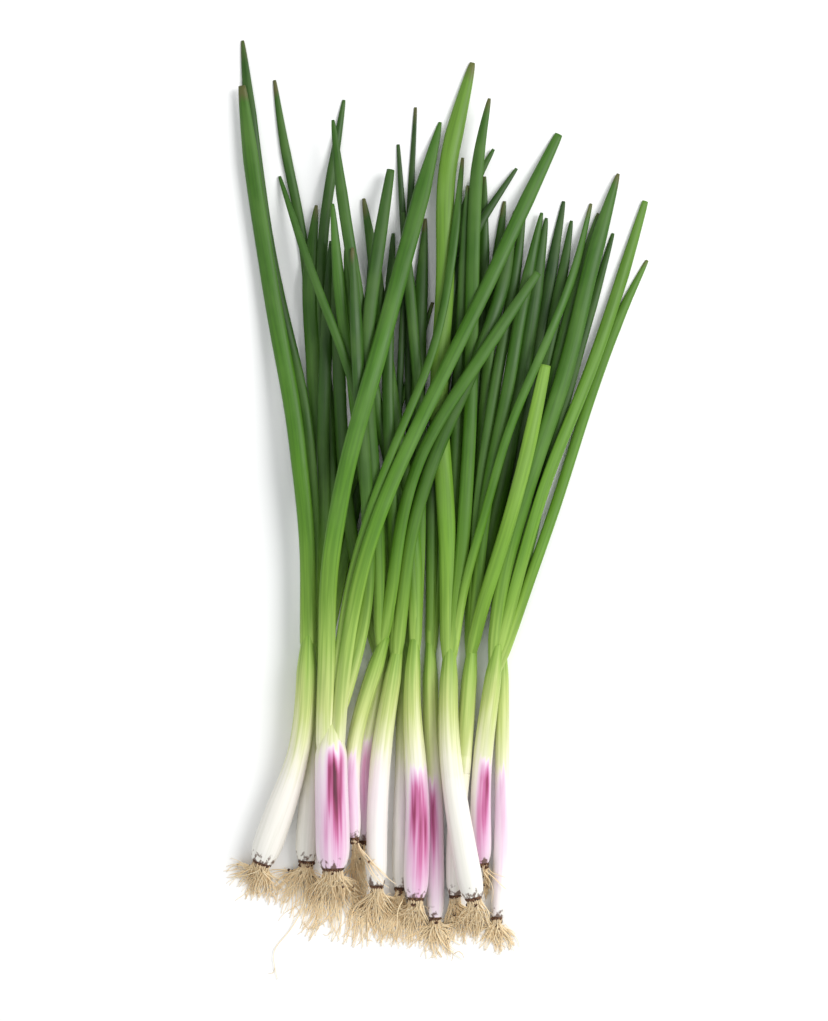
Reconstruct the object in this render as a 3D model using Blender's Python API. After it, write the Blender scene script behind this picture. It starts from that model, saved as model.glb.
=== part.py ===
"""A loose bunch of thirteen spring onions lying on a flat surface, at real size.

Metres, +Z up. The shanks and roots point to -Y and the leaves to +Y. The origin is on the
surface, under the middle of the bunch. Every stem, leaf and root has a route drawn in plan,
in millimetres, and its height is worked out by laying it on what already lies there.
"""

import math

import bmesh
import bpy
import numpy as np

MM = 0.001
STATION = 2.0  # distance between the stations of a stem or a leaf, mm
ROOT_STATION = 1.0
GAP = 0.6  # clear height where one piece lies on another, mm
SIDE_GAP = 0.4  # clear width between pieces that lie side by side, mm
JOIN_GAP = 0.3  # between two colours of one plant, which meet end to end, mm
FLUSH = 1.0  # the last length on either side of that joint, where both run straight, mm
PRESS = 0.3  # how far a stem's own weight flattens its underside, mm

STEM_SIDES, LEAF_SIDES, ROOT_SIDES = 12, 8, 3
CHORD, ROOT_CHORD = 0.27, 0.35  # how far a straight stretch of the mesh may cut a bend, mm
LEAF_FLATNESS = 0.56  # a leaf's thickness over its width
HELD = 4.0  # length of a leaf's foot that keeps the height of its stem, mm
NECK_CLOSING = 14.0  # length over which a neck closes round the feet of its leaves, mm
NECK_END = 5.0  # width of its end, at most, mm
LEAF_SPREAD = (30.0, 80.0)  # from here to here along a leaf it parts from its sisters, mm
LEAF_OPENING = 55.0  # length over which a leaf opens to its full width, mm
TIP_TAPER = 30.0
TIP_WIDTH = 1.3
ROOT_WIDTH = 0.9
ROOT_STEP = 0.07  # each root of a plant lies this much higher than the one before, mm
ROOT_SEED = 4
ROOT_TRIES = 60  # draws of one root, of which the first that fits is kept
GOLDEN_ANGLE = 2.4
PLATE_THICKNESS = 2.0

# Stiffness and sag of what is laid down, in the units of the height solver
STEM_BEND, STEM_SAG = 100000.0, 2.5
LEAF_BEND, LEAF_SAG = 20000.0, 1.2
ROOT_BEND, ROOT_SAG = 600.0, 1.5

# stem: the route from foot to neck top. widths: at the foot, at the colour line and at the
# neck top. shank: length of the white or purple part. leaves: width, the route to the tip,
# and the width of a blunt tip. roots: count, reach and half of the fan's angle in degrees.
PLANTS = {
    "01": {
        "stem": [(-72.5, -141), (-65.5, -120), (-57.5, -99), (-55, -76), (-54, -50)],
        "widths": (12.5, 9, 8.5),
        "shank": 45,
        "shank_colour": "white shank",
        "leaves": [
            (5.4, [(-53, -62), (-52, 4), (-56, 44), (-64, 76), (-71, 108), (-77, 152), (-81, 190)]),
            (7.0, [(-54, -62), (-54, -12), (-60, 40), (-67, 76), (-75, 124), (-81, 171)], 3.0),
        ],
        "roots": (9, 17, 62),
    },
    "02": {
        "stem": [(-55, -141), (-52, -99), (-51, -76), (-50, -50)],
        "widths": (10, 8.5, 7),
        "shank": 42,
        "shank_colour": "white shank",
        "leaves": [
            (4.0, [(-50, -62), (-51, 4), (-53, 44), (-54, 84), (-57, 114), (-64, 146), (-68, 174)]),
            (6.8, [(-49, -62), (-49, -12), (-51, 44), (-54, 92), (-51, 123)]),
            (4.4, [(-49, -62), (-44, -8), (-45, 32), (-49, 84), (-48, 116), (-44, 140), (-40, 166)]),
            (5.4, [(-50, -62), (-48, -10), (-48, 40), (-46, 80), (-45, 108)]),
            (5.6, [(-49, -62), (-42, -30), (-36, 0), (-31, 36), (-29, 76), (-29, 108)]),
            (2.8, [(-50, -62), (-40, -4), (-34, 20), (-25, 28), (-18, 39), (-11, 62), (-4, 84)]),
        ],
        "roots": (8, 24, 40),
    },
    "03": {
        "stem": [(-44, -142), (-44, -120), (-45, -97), (-44, -85)],
        "widths": (14, 13, 9),
        "shank": 45,
        "shank_colour": "purple shank",
        "leaves": [
            (5.4, [(-43, -86), (-36, -64), (-30, -36), (-30, 4), (-33, 44), (-35, 84), (-36, 104)]),
            (3.6, [(-45, -80), (-38, -32), (-29, 0), (-17, 32), (-7, 54), (0, 78), (5, 112), (8, 142)]),
            (7.2, [(-47, -102), (-47.5, -82), (-46, -60), (-46, -28), (-39, 14), (-25, 64), (-14, 106), (-1, 157)]),
            (6.0, [(-42.4, -102), (-41.2, -80), (-38, -52), (-32, -21), (-20, 12), (-3, 48), (18, 90), (31, 119), (47, 152)], 3.2),
        ],
        "roots": (10, 33, 40),
    },
    "04": {
        "stem": [(-31, -133), (-32, -112), (-31, -94), (-27, -76), (-23, -54)],
        "widths": (8, 7.5, 7),
        "shank": 39,
        "shank_colour": "purple shank",
        "leaves": [
            (5.6, [(-25, -62), (-32, -34), (-38, -4), (-41, 36), (-42, 72), (-43, 108)]),
            (5.6, [(-25, -62), (-28, -20), (-32, 20), (-36, 52), (-37, 84), (-39, 104)]),
        ],
        "roots": (7, 44, 14),
    },
    "05": {
        "stem": [(-26.5, -150), (-26.5, -124), (-25, -98), (-21.5, -76), (-18, -54)],
        "widths": (8.5, 8.5, 7),
        "shank": 52,
        "shank_colour": "white shank",
        "leaves": [
            (5.0, [(-19, -62), (-23, -4), (-32, 32), (-39, 68), (-42, 96), (-44, 122)]),
            (4.8, [(-19, -62), (-20, -8), (-22, 36), (-22, 76), (-20, 112)]),
            (5.6, [(-19, -62), (-13, -8), (-1, 28), (14, 60), (25, 92), (29, 121)]),
        ],
        "roots": (8, 29, 36),
    },
    "06": {
        "stem": [(-17, -152), (-17, -124), (-16, -102), (-16, -76), (-15, -54)],
        "widths": (7, 6, 5.5),
        "shank": 50,
        "shank_colour": "white shank",
        "leaves": [
            (2.8, [(-15, -62), (-13, 4), (-14, 60), (-14, 108), (-11, 163)]),
            (2.8, [(-16, -62), (-19, 4), (-17, 60), (-15, 100), (-18, 148)]),
            (5.6, [(-15, -62), (-12, -8), (-10, 40), (-9, 84), (-7, 118)]),
        ],
        "roots": (7, 25, 32),
    },
    "07": {
        "stem": [(-11, -155), (-10, -124), (-11, -98), (-13, -76), (-11, -50)],
        "widths": (10.5, 9, 6.5),
        "shank": 55,
        "shank_colour": "purple shank",
        "leaves": [
            (4.6, [(-11, -60), (-9, -8), (-9, 40), (-13, 84), (-16, 120)]),
            (5.4, [(-11, -60), (-11, -12), (-17, 24), (-23, 64), (-27, 96), (-32, 126)]),
            (4.8, [(-11, -60), (-13, -16), (-19, 8), (-27, 44), (-35, 92), (-41, 130), (-44, 156)]),
        ],
        "roots": (8, 21, 48),
    },
    "08": {
        "stem": [(-3, -164), (-3, -136), (-4, -104), (-5, -76), (-5, -54)],
        "widths": (7.5, 7.5, 6.5),
        "shank": 60,
        "shank_colour": "purple shank",
        "leaves": [
            (5.0, [(-5, -62), (-1, -8), (5, 40), (9, 84), (10, 124)]),
            (4.8, [(-5, -62), (-4, -8), (-2, 28), (4, 80), (8, 120), (16, 139), (22, 145)]),
            (4.0, [(-5, -62), (-5, -4), (-3, 48), (5, 97), (19, 122), (30, 138)]),
        ],
        "roots": (6, 18, 50),
    },
    "09": {
        "stem": [(5, -155), (5, -128), (8, -102), (10, -76), (12, -54)],
        "widths": (7.5, 7.5, 6.5),
        "shank": 50,
        "shank_colour": "white shank",
        "leaves": [
            (6.2, [(11, -62), (17, -20), (25, 12), (30, 44), (35, 72), (39, 100), (42, 118)]),
            (5.0, [(11, -62), (12, 24), (16, 80), (17, 135)]),
            (5.2, [(11, -62), (16, 28), (20, 84), (25, 125)]),
            (5.0, [(11, -62), (14, 0), (21, 50), (29, 92), (33, 122)]),
            (5.2, [(11, -62), (17, 4), (26, 48), (32, 84), (40, 120)]),
            (6.0, [(11, -62), (14, -44), (23, -16), (33, 20), (41, 58)], 4.6),
        ],
        "roots": (6, 20, 40),
    },
    "10": {
        "stem": [(12, -154), (7, -128), (3, -102), (2, -76), (3, -54)],
        "widths": (10.5, 9, 7.5),
        "shank": 55,
        "shank_colour": "white shank",
        "leaves": [
            (5.0, [(3, -62), (4, -10), (6, 40), (8, 84), (10, 130)]),
            (7.6, [(2, -62), (2, -12), (-2, 44), (1, 92), (1, 136), (12, 181)], 2.2),
            (5.6, [(3, -62), (8, -16), (11, 36), (12, 104), (14, 144), (19, 165)]),
            (3.6, [(4, -62), (8, -32), (15, -8), (26, 32), (39, 62), (52, 92), (60, 124)]),
        ],
        "roots": (8, 21, 46),
    },
    "11": {
        "stem": [(16, -142), (15, -120), (16, -99), (19, -76), (22, -54)],
        "widths": (8.5, 8, 7),
        "shank": 44,
        "shank_colour": "purple shank",
        "leaves": [
            (4.6, [(21, -66), (27, -52), (32, -36), (45, 0), (59, 44), (72, 80), (83, 101)]),
            (4.8, [(21, -62), (27, -24), (38, 22), (47, 64), (56, 98), (63, 120)]),
            (6.8, [(20, -62), (24, -26), (34, 10), (50, 58), (60, 100), (71, 136)]),
            (5.2, [(21, -62), (32, -20), (42, 14), (58, 52), (72, 92), (82, 125)], 2.6),
        ],
        "roots": (8, 16, 60),
    },
    "12": {
        "stem": [(22, -164), (24, -136), (24, -102), (24, -76), (24, -54)],
        "widths": (6.5, 6, 5.5),
        "shank": 62,
        "shank_colour": "purple shank",
        "leaves": [
            (5.2, [(24, -62), (26, 4), (35, 48), (43, 92), (49, 125)]),
            (5.2, [(24, -62), (28, -16), (38, 40), (48, 92), (52, 117)]),
            (4.8, [(24, -62), (30, -20), (42, 30), (54, 76), (62, 112)]),
            (4.2, [(24, -62), (32, -28), (42, 16), (55, 64), (69, 112)]),
        ],
        "roots": (7, 15, 55),
    },
    "13": {
        "stem": [(-35.5, -131), (-36.5, -114), (-36.5, -98), (-34, -85), (-30, -73), (-26, -60), (-23, -50)],
        "widths": (6.6, 6.6, 6.6),
        "shank": 31,
        "shank_colour": "purple shank",
        "leaves": [
            (3.6, [(-25, -57), (-26, -8), (-31, 34), (-41, 66), (-53, 96), (-66, 135)]),
            (5.6, [(-25, -57), (-26, -4), (-30, 44), (-30, 72), (-26, 104), (-21, 137)], 3.2),
            (5.2, [(-25, -57), (-20, -30), (-17, -4), (-8, 25), (7, 49), (38, 95)], 3.0),
        ],
        "roots": (7, 24, 45),
    },
}

# The plants from the bottom of the pile to its top
PILE = ["02", "06", "12", "04", "11", "09", "08", "07", "10", "05", "13", "01", "03"]

# Single roots that stray out of the tuft: plant and route
STRAY_ROOTS = {
    "01": [(-72.5, -142), (-73.5, -145), (-77, -153), (-84, -158)],
    "02": [(-55, -142), (-55, -146), (-56, -160), (-63, -172), (-69, -178), (-67, -190)],
    "08": [(-3, -165), (-3, -168), (0, -176), (8, -182)],
}

COLOURS = {
    "white shank": ("#f6f3ea", 0.35),
    "purple shank": ("#cf86b4", 0.35),
    "leaf green": ("#4f7f38", 0.45),
    "root tan": ("#cbab80", 0.85),
}


def linear(channel):
    """One sRGB channel from 0 to 1 as the linear value that a shader takes."""
    return channel / 12.92 if channel <= 0.04045 else ((channel + 0.055) / 1.055) ** 2.4


def make_material(name, hex_colour, roughness):
    material = bpy.data.materials.new(name)
    material.use_nodes = True
    shader = material.node_tree.nodes["Principled BSDF"]
    channels = [int(hex_colour[k : k + 2], 16) / 255 for k in (1, 3, 5)]
    shader.inputs["Base Color"].default_value = [linear(c) for c in channels] + [1.0]
    shader.inputs["Roughness"].default_value = roughness
    return material


def stiffener(count, bend):
    """Matrix that bends a row of stations towards a straight line, without moving its mean."""
    curl = np.diff(np.eye(count), 2, axis=0)
    return np.linalg.inv(np.eye(count) + bend * curl.T @ curl)


def length_along(points):
    """Distance of each point from the first, along the line."""
    steps = np.linalg.norm(np.diff(points, axis=0), axis=1)
    return np.concatenate([[0.0], np.cumsum(steps)])


def stations(route, step, bend=200.0):
    """Evenly spaced points on a smooth line along a route drawn by hand."""
    points = np.array(route, float)
    for _ in range(2):
        run = length_along(points)
        even = np.linspace(0.0, run[-1], max(round(run[-1] / step), 4) + 1)
        points = np.column_stack([np.interp(even, run, points[:, k]) for k in (0, 1)])
        points = stiffener(len(points), bend) @ points
    return points


class Pile:
    """What already lies there: for each station x, y, z, half width, half thickness, plant."""

    def __init__(self):
        self.rows = np.zeros((0, 6))

    def add(self, points, half_width, half_thick, plant):
        owner = np.full(len(points), float(plant))
        self.rows = np.vstack([self.rows, np.column_stack([points, half_width, half_thick, owner])])

    def height_under(self, plan, half_width, half_thick, plant, part):
        """Lowest height of each station's centre that clears the pile.

        part is how far a station has parted from its own plant, from 0 to 1.
        """
        x, y, z, wide, thick, owner = self.rows.T
        away = np.hypot(plan[:, :1] - x, plan[:, 1:2] - y)
        reach = half_width[:, None] + wide + SIDE_GAP
        rise = half_thick[:, None] + thick + GAP
        apart = np.where(owner == float(plant), part[:, None], 1.0)
        lift = rise * np.sqrt(np.clip(1.0 - (away / reach) ** 2, 0.0, 1.0)) * apart
        meets = (away < reach) & (apart > 0.0)
        return np.where(meets, z + lift, 0.0).max(axis=1, initial=0.0)


def lay(floor, start, bend, sag):
    """Heights of a springy line that rests on the floor, with its first stations held."""
    z = np.full(len(floor), floor.max())
    held = len(start)
    for pace in (1.0, 0.1, 0.01):
        spring = stiffener(len(floor), bend * pace)
        for _ in range(300):
            z = np.maximum(spring @ (z - sag * pace), floor)
            z[:held] = start
    return z


def leaf_half_width(run, foot, width, tip):
    """Half width along a leaf: narrow in the neck, full beyond it, then tapered to the tip."""
    body = foot + (width - foot) * np.clip(run / LEAF_OPENING, 0.0, 1.0) ** 0.7
    left = np.clip((run[-1] - run) / TIP_TAPER, 0.0, 1.0)
    return 0.5 * body * (tip + (width - tip) * left**0.7) / width


def stem_half_width(run, plant):
    """Half width along a stem, with the slight bulb near its foot."""
    foot, line, top = plant["widths"]
    closing = min(NECK_CLOSING, 0.4 * (run[-1] - plant["shank"]))
    knots = [0.0, 3.0, 9.0, 22.0, plant["shank"], run[-1] - closing, run[-1]]
    bulb = [0.72 * foot, 0.93 * foot, foot, 0.86 * foot + 0.14 * line]
    widths = [*bulb, line, top, min(0.6 * top, NECK_END)]
    return 0.5 * np.interp(run, knots, widths)


def lay_bunch():
    """Lay every stem and leaf in the order of the pile."""
    pile = Pile()
    stems, leaves = {}, {}
    for name in PILE:
        plant = PLANTS[name]
        plan = stations(plant["stem"], STATION)
        run = length_along(plan)
        radius = stem_half_width(run, plant)
        nothing_own = np.ones(len(run))
        ground = radius * math.cos(math.pi / STEM_SIDES) - PRESS
        floor = np.maximum(pile.height_under(plan, radius, radius, name, nothing_own), ground)
        height = lay(floor, floor[:0], STEM_BEND, STEM_SAG)
        stems[name] = np.column_stack([plan, height]), radius
        leaves[name] = []
        for width, route, *tip in plant["leaves"]:
            plan = stations(route, STATION)
            run = length_along(plan)
            foot = min(width, 0.8 * plant["widths"][2])
            half = leaf_half_width(run, foot, width, tip[0] if tip else TIP_WIDTH)
            thick = half * LEAF_FLATNESS
            parted = np.clip((run - LEAF_SPREAD[0]) / (LEAF_SPREAD[1] - LEAF_SPREAD[0]), 0.0, 1.0)
            ground = thick * math.cos(math.pi / LEAF_SIDES)
            floor = np.maximum(pile.height_under(plan, half, thick, name, parted), ground)
            inside = run <= HELD
            stem_points = stems[name][0]
            start = np.interp(plan[inside, 1], stem_points[:, 1], stem_points[:, 2])
            height = lay(floor, start, LEAF_BEND, LEAF_SAG)
            points = np.column_stack([plan, height])
            leaves[name].append((points, half))
            pile.add(points, half, thick, name)
        pile.add(stems[name][0], stems[name][1], stems[name][1], name)
    return pile, stems, leaves


def draw_root(rng, start, heading, turn, reach):
    """Plan of one root: it leaves the foot straight, turns within the fan and wanders."""
    run = np.arange(0.0, reach * rng.uniform(0.55, 1.0) + ROOT_STATION, ROOT_STATION)
    wander = rng.uniform(0.2, 0.5) * np.sin(run / rng.uniform(4.0, 8.0) + rng.uniform(0.0, 6.3))
    angle = heading + (turn + wander) * np.clip((run - 1.0) / 4.0, 0.0, 1.0)
    steps = ROOT_STATION * np.column_stack([np.cos(angle), np.sin(angle)])
    return start + np.cumsum(steps, axis=0)


def is_beside(plan, others):
    """Whether a root's plan stays clear of all the other stems."""
    for line, wide in others:
        away = np.hypot(plan[2:, :1] - line[:, 0], plan[2:, 1:2] - line[:, 1])
        if (away < wide + ROOT_WIDTH).any():
            return False
    return True


def plan_roots(name, stems):
    """Plans of a plant's roots, each with how far above the foot's middle it leaves the plate.

    The roots are spread evenly over the plate. A root passes beside the other stems, or over
    lower ones where they box its plant in.
    """
    rng = np.random.default_rng([ROOT_SEED, int(name)])
    points, radius = stems[name]
    foot = points[0, :2]
    outward = foot - points[4, :2]
    heading = math.atan2(outward[1], outward[0])
    beside = np.array([-math.sin(heading), math.cos(heading)])
    count, reach, spread = PLANTS[name]["roots"]
    every = [stems[other] for other in PILE if other != name]
    higher = [stems[other] for other in PILE[PILE.index(name) + 1 :]]
    plans = []
    if name in STRAY_ROOTS:
        plans.append((stations(STRAY_ROOTS[name], ROOT_STATION, 20.0), 0.0))
    for k in range(count):
        out = 0.7 * radius[0] * math.sqrt((k + 0.5) / count)
        side, rise = out * math.cos(GOLDEN_ANGLE * k), out * math.sin(GOLDEN_ANGLE * k)
        for attempt in range(ROOT_TRIES):
            share = 0.6 * side / radius[0] + rng.uniform(-0.6, 0.6)
            turn = math.radians(spread) * share
            plan = draw_root(rng, foot + beside * side, heading, turn, reach)
            if is_beside(plan, every if attempt < ROOT_TRIES / 2 else higher):
                plans.append((plan, rise))
                break
    return plans


def lay_roots(pile, stems):
    """Lay the roots of each plant, in the order of the pile."""
    roots = {}
    for name in PILE:
        roots[name] = []
        foot_height = stems[name][0][0, 2]
        for k, (plan, rise) in enumerate(plan_roots(name, stems)):
            half = np.full(len(plan), 0.5 * ROOT_WIDTH)
            floor = pile.height_under(plan, half, half, name, np.zeros(len(plan)))
            ground = half * math.cos(math.pi / ROOT_SIDES) + ROOT_STEP * k
            floor = np.maximum(floor, ground)
            start = np.full(3, foot_height + rise)
            laid = np.column_stack([plan, lay(floor, start, ROOT_BEND, ROOT_SAG)])
            roots[name].append(laid)
            pile.add(laid, half, half, name)
    return roots


def make_section(name, sides, flatness, helpers):
    """Outline of a stem, leaf or root, one millimetre in radius, with a flat side down."""
    data = bpy.data.curves.new(name, "CURVE")
    data.dimensions = "2D"
    outline = data.splines.new("POLY")
    outline.points.add(sides - 1)
    for k, point in enumerate(outline.points):
        angle = -2.0 * math.pi * (k + 0.5) / sides - 0.5 * math.pi
        point.co = (MM * math.cos(angle), MM * flatness * math.sin(angle), 0.0, 1.0)
    outline.use_cyclic_u = True
    section = bpy.data.objects.new(name, data)
    section.hide_render = True
    section.display_type = "WIRE"
    helpers.objects.link(section)
    return section


def sweep(name, rows, section, into):
    """Closed tube with the section's shape along rows of x, y, z and half width."""
    data = bpy.data.curves.new(name, "CURVE")
    data.dimensions = "3D"
    data.twist_mode = "Z_UP"
    data.bevel_mode = "OBJECT"
    data.bevel_object = section
    data.use_fill_caps = True
    line = data.splines.new("POLY")
    line.points.add(len(rows) - 1)
    for target, row in zip(line.points, rows):
        target.co = (*(row[:3] * MM), 1.0)
        target.radius = row[3]
    curve = bpy.data.objects.new(name + "_curve", data)
    into.objects.link(curve)
    bpy.context.view_layer.update()
    mesh = bpy.data.meshes.new_from_object(curve.evaluated_get(bpy.context.evaluated_depsgraph_get()))
    piece = bpy.data.objects.new(name, mesh)
    piece.matrix_world = curve.matrix_world
    bpy.data.objects.remove(curve)
    bpy.data.curves.remove(data)
    into.objects.link(piece)
    shape = bmesh.new()
    shape.from_mesh(mesh)
    bmesh.ops.remove_doubles(shape, verts=shape.verts, dist=0.00001)
    for vert in shape.verts:
        vert.co.z = max(vert.co.z, 0.0)
    shape.to_mesh(mesh)
    shape.free()
    return piece


def stretch(points, half_width, first, last, tolerance=CHORD):
    """Rows of x, y, z and half width along a line, from one distance to another.

    Only those rows are kept that straight stretches between them need to follow the line.
    """
    line = np.column_stack([points, half_width])
    run = length_along(points)
    even = np.linspace(first, last, max(round(last - first), 2) + 1)
    rows = np.column_stack([np.interp(even, run, line[:, k]) for k in range(4)])
    keep = {0, len(rows) - 1}
    spans = [(0, len(rows) - 1)]
    while spans:
        start, end = spans.pop()
        if end - start < 2:
            continue
        share = np.linspace(0.0, 1.0, end - start + 1)[1:-1, None]
        chord = rows[start] + (rows[end] - rows[start]) * share
        miss = np.linalg.norm(rows[start + 1 : end] - chord, axis=1)
        if miss.max() > tolerance:
            middle = start + 1 + int(miss.argmax())
            keep.add(middle)
            spans += [(start, middle), (middle, end)]
    return rows[sorted(keep)]


def fuse(target, others, helpers):
    """Join the others to the target in one closed body."""
    group = bpy.data.collections.new(target.name + "_repeats")
    helpers.children.link(group)
    for other in others:
        group.objects.link(other)
    union = target.modifiers.new("union", "BOOLEAN")
    union.operation = "UNION"
    union.operand_type = "COLLECTION"
    union.collection = group
    bpy.context.view_layer.update()
    mesh = bpy.data.meshes.new_from_object(target.evaluated_get(bpy.context.evaluated_depsgraph_get()))
    target.modifiers.clear()
    target.data = mesh
    for other in others:
        bpy.data.objects.remove(other)
    bpy.data.collections.remove(group)


def finish_node(piece, material):
    piece.data.materials.clear()
    piece.data.materials.append(material)
    piece.data.shade_smooth()
    piece.data.set_sharp_from_angle(angle=math.radians(50))


def colour_line(name, stem):
    """Rows of x, y, z and half width where the colour changes: two of the shank, two of the neck.

    The four lie on one straight line, so the two ends face each other squarely.
    """
    points, radius = stem
    run, line = length_along(points), np.column_stack([points, radius])
    where = PLANTS[name]["shank"] + np.array([-FLUSH, 0.0, FLUSH])
    before, middle, after = np.column_stack([np.interp(where, run, line[:, k]) for k in range(4)])
    way = (after[:3] - before[:3]) / np.linalg.norm(after[:3] - before[:3])
    offsets = np.array([-FLUSH, 0.0, JOIN_GAP, JOIN_GAP + FLUSH])
    return np.column_stack([middle[:3] + offsets[:, None] * way, np.full(4, middle[3])])


def make_shank(name, stem, section, parts):
    rows = stretch(*stem, 0.0, PLANTS[name]["shank"] - 2 * FLUSH)
    rows = np.vstack([rows, colour_line(name, stem)[:2]])
    return sweep(f"onion_{name}_shank", rows, section, parts)


def make_leaves(name, stem, leaves, sections, parts, helpers):
    first = PLANTS[name]["shank"] + JOIN_GAP + 2 * FLUSH
    rows = stretch(*stem, first, length_along(stem[0])[-1])
    rows = np.vstack([colour_line(name, stem)[2:], rows])
    neck = sweep(f"onion_{name}_leaves", rows, sections["stem"], parts)
    blades = []
    for k, (points, half) in enumerate(leaves):
        rows = stretch(points, half, 6.0, length_along(points)[-1])
        blades.append(sweep(f"blade_{k}", rows, sections["leaf"], helpers))
    fuse(neck, blades, helpers)
    return neck


def make_roots(name, stem, roots, sections, parts, helpers):
    points, radius = stem
    outward = (points[0] - points[1]) / np.linalg.norm(points[0] - points[1])
    depths = JOIN_GAP + PLATE_THICKNESS * np.array([0.0, 0.5, 1.0])
    widths = radius[0] * np.array([0.97, 0.92, 0.6])
    rows = np.column_stack([points[0] + depths[:, None] * outward, widths])
    plate = sweep(f"onion_{name}_roots", rows, sections["plate"], parts)
    threads = []
    for k, laid in enumerate(roots):
        run = length_along(laid)
        half = 0.5 * ROOT_WIDTH * np.interp(run, [0.0, 0.6 * run[-1], run[-1]], [1.2, 1.0, 0.75])
        rows = stretch(laid, half, 0.4, run[-1], ROOT_CHORD)
        threads.append(sweep(f"thread_{k}", rows, sections["root"], helpers))
    fuse(plate, threads, helpers)
    return plate


def main():
    for old in list(bpy.data.objects):
        bpy.data.objects.remove(old)
    parts = bpy.data.collections.new("spring_onion_bunch")
    helpers = bpy.data.collections.new("helpers")
    bpy.context.scene.collection.children.link(parts)
    bpy.context.scene.collection.children.link(helpers)
    materials = {name: make_material(name, *look) for name, look in COLOURS.items()}
    sections = {
        "stem": make_section("stem_section", STEM_SIDES, 1.0, helpers),
        "leaf": make_section("leaf_section", LEAF_SIDES, LEAF_FLATNESS, helpers),
        "plate": make_section("plate_section", LEAF_SIDES, 1.0, helpers),
        "root": make_section("root_section", ROOT_SIDES, 1.0, helpers),
    }
    pile, stems, leaves = lay_bunch()
    roots = lay_roots(pile, stems)
    for name, plant in PLANTS.items():
        shank = make_shank(name, stems[name], sections["stem"], parts)
        finish_node(shank, materials[plant["shank_colour"]])
        green = make_leaves(name, stems[name], leaves[name], sections, parts, helpers)
        finish_node(green, materials["leaf green"])
        tuft = make_roots(name, stems[name], roots[name], sections, parts, helpers)
        finish_node(tuft, materials["root tan"])


main()
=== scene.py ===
# %% [markdown]
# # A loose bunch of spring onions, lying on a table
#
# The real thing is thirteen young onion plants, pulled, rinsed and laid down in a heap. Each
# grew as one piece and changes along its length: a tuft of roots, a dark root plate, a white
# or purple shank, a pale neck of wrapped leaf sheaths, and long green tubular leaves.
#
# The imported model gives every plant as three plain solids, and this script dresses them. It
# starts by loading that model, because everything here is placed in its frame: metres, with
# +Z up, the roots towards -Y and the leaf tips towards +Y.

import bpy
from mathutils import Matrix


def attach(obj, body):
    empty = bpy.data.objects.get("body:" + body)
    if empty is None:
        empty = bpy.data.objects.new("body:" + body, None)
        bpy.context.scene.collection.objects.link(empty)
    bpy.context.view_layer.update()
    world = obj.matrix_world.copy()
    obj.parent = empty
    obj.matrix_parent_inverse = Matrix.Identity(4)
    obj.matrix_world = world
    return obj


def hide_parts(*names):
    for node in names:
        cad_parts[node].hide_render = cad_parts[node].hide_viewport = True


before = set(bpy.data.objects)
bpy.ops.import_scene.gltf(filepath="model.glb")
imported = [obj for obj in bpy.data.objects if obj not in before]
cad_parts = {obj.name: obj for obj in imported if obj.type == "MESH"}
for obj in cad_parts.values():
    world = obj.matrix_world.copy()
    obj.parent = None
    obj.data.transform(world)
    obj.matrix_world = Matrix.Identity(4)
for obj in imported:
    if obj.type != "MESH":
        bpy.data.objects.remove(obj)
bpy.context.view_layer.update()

# %% What the script works with
import math

import bpy
import numpy as np

MM = 0.001

# %% [markdown]
# ## Where every plant lies
#
# A heap of leaves can't be placed by eye in three dimensions: they would cut through each
# other. What the eye can read is the view from above. So each stem and leaf has a route in
# plan, a handful of points in millimetres, and its height is worked out afterwards.
#
# The same routes shaped the solids, so a surface laid on these lines fits its solid.

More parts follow.
